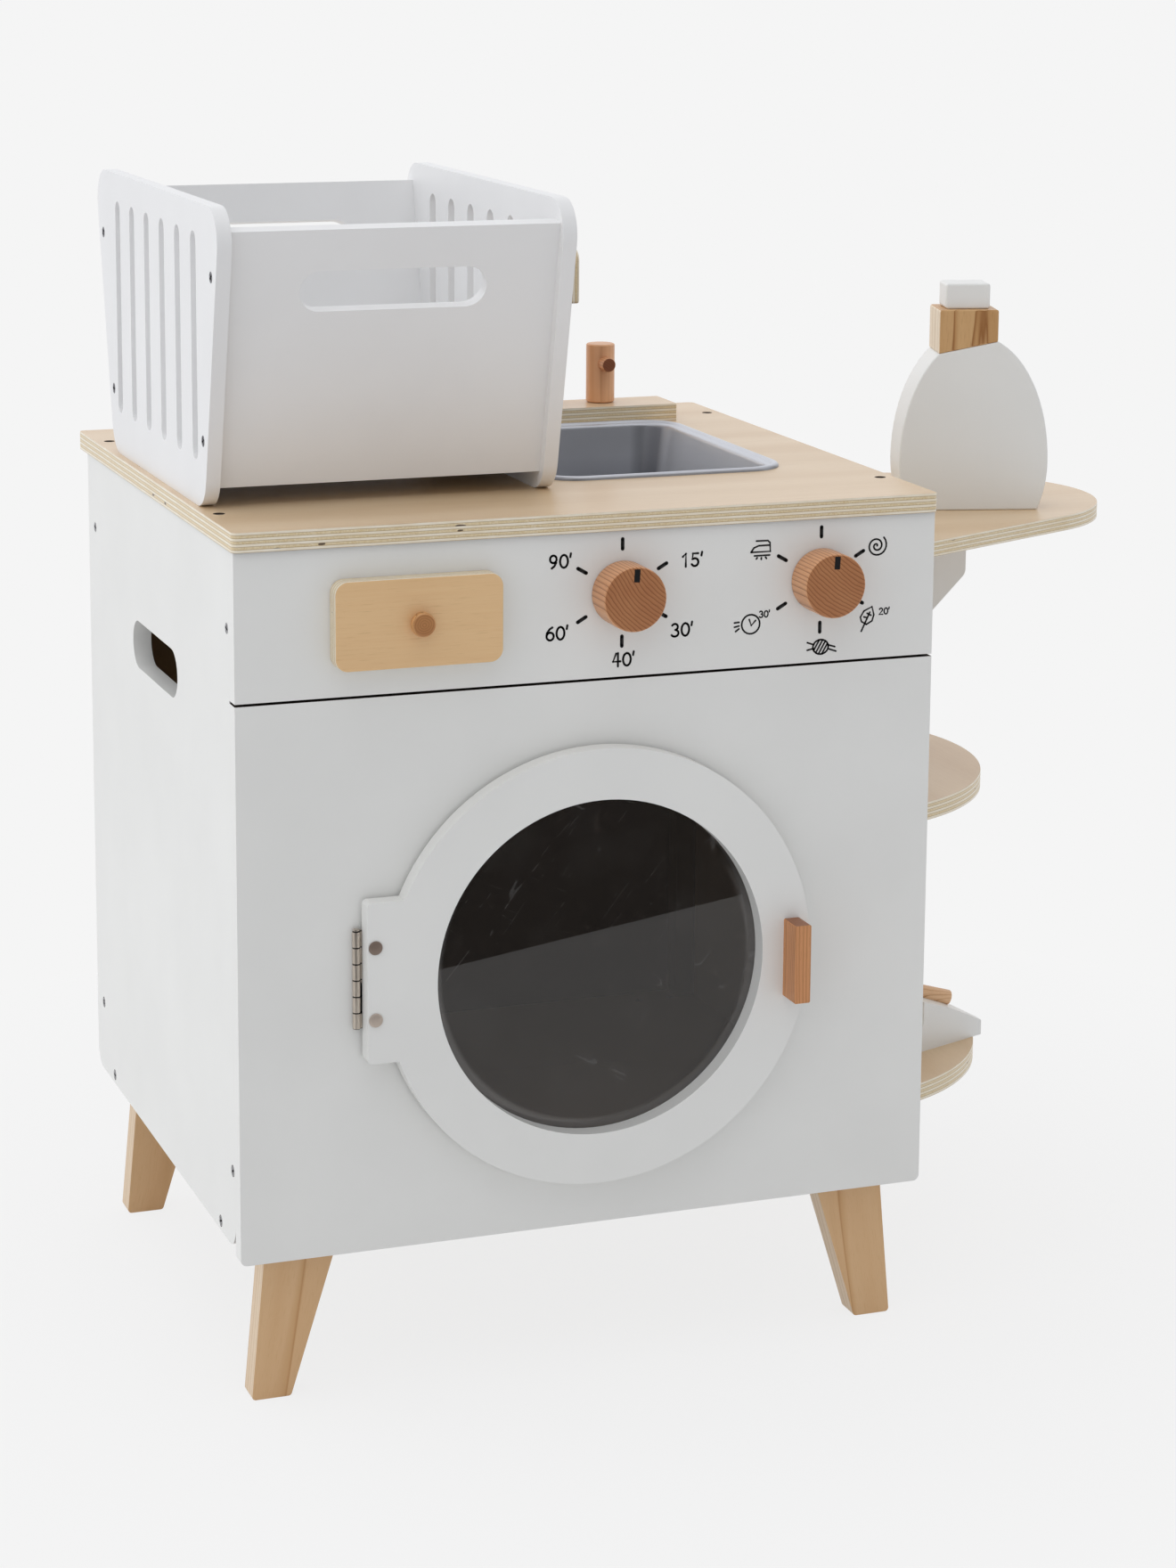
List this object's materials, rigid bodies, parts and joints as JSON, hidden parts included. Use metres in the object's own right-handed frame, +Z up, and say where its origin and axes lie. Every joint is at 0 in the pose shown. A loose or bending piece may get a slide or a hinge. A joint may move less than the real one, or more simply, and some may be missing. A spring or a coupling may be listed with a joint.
{
  "type": "toy washing machine",
  "caption": "Children's wooden play washer: board cabinet on splayed legs, round hinged door, dials, drawer, sink with taps, side shelves, laundry basket, bottle and iron.",
  "frame": {"origin": "middle of the whole object's footprint box, on the floor", "axes": "+Z up, -Y out of the front with the round door, +X towards the side shelves"},
  "size_m": [0.659, 0.443, 0.729],
  "materials": {
    "white_board": "satin white lacquer on board",
    "plywood": "clear matt lacquer on birch plywood",
    "pine": "clear matt lacquer on solid pine",
    "beech": "clear matt lacquer on solid beech",
    "dark_board": "bare dark board",
    "sink_metal": "satin grey paint on sheet steel",
    "window_glass": "glossy dark tinted clear plastic",
    "plated_steel": "nickel plate"
  },
  "bodies": {
    "cabinet": {"lower_front": "white_board", "fascia": "white_board", "left_side": "white_board", "right_side": "white_board", "back_panel": "white_board", "bottom_panel": "dark_board", "corner_battens": "pine", "worktop": "plywood", "sink": "sink_metal", "tap_ledge": "plywood", "spout": "plywood", "leg_front_left": "pine", "leg_front_right": "pine", "leg_back_left": "pine", "leg_back_right": "pine", "ironing_board": "plywood", "board_bracket": "white_board", "middle_shelf": "plywood", "bottom_shelf": "plywood", "drawer_housing": "dark_board", "hinge_frame_leaf": "plated_steel", "hinge_pin": "plated_steel", "catch_magnet": "sink_metal", "cabinet_screws": "plated_steel", "hinge_screws": "plated_steel"},
    "door": {"door_ring": "white_board", "window_pane": "window_glass", "pane_screws": "plated_steel", "door_handle": "beech", "handle_screws": "plated_steel", "hinge_door_leaf": "plated_steel", "hinge_bolts": "plated_steel", "catch_plate": "sink_metal"},
    "drawer": {"drawer_front": "plywood", "drawer_knob": "beech", "drawer_tray": "plywood"},
    "dial_left": {"left_dial": "beech", "left_dial_bolt": "plated_steel"},
    "dial_right": {"right_dial": "beech", "right_dial_bolt": "plated_steel"},
    "tap_left": {"left_tap": "beech", "left_tap_peg": "beech", "left_tap_bolt": "plated_steel"},
    "tap_right": {"right_tap": "beech", "right_tap_peg": "beech", "right_tap_bolt": "plated_steel"},
    "basket": {"basket_left_side": "white_board", "basket_right_side": "white_board", "basket_front": "white_board", "basket_back": "white_board", "basket_floor": "white_board", "basket_screws": "plated_steel"},
    "bottle": {"bottle_body": "white_board", "bottle_collar": "pine", "bottle_cap": "white_board"},
    "iron": {"iron_body": "white_board", "iron_handle": "beech"}
  },
  "joints": [
    {"name": "door_hinge", "type": "hinge", "parent": "cabinet", "child": "door", "pos_m": [-0.256, -0.19125, 0.2685], "axis": [0, 0, -1], "range_deg": [0, 108]},
    {"name": "drawer_slide", "type": "slide", "parent": "cabinet", "child": "drawer", "axis": [0, -1, 0], "range_m": [0, 0.06]},
    {"name": "dial_left_turn", "type": "hinge", "parent": "cabinet", "child": "dial_left", "pos_m": [-0.0865, -0.18855, 0.4945], "axis": [0, 1, 0], "continuous": true},
    {"name": "dial_right_turn", "type": "hinge", "parent": "cabinet", "child": "dial_right", "pos_m": [0.0445, -0.18855, 0.4945], "axis": [0, 1, 0], "continuous": true},
    {"name": "tap_left_turn", "type": "hinge", "parent": "cabinet", "child": "tap_left", "pos_m": [-0.0555, 0.16645, 0.557], "axis": [0, 0, 1], "continuous": true},
    {"name": "tap_right_turn", "type": "hinge", "parent": "cabinet", "child": "tap_right", "pos_m": [0.0305, 0.16645, 0.557], "axis": [0, 0, 1], "continuous": true},
    {"name": "basket_lift", "type": "slide", "parent": "cabinet", "child": "basket", "axis": [0, 0, 1], "range_m": [0, 0.25]},
    {"name": "bottle_lift", "type": "slide", "parent": "cabinet", "child": "bottle", "axis": [0, 0, 1], "range_m": [0, 0.2]},
    {"name": "iron_pull", "type": "slide", "parent": "cabinet", "child": "iron", "axis": [1, 0, 0], "range_m": [0, 0.15]}
  ]
}
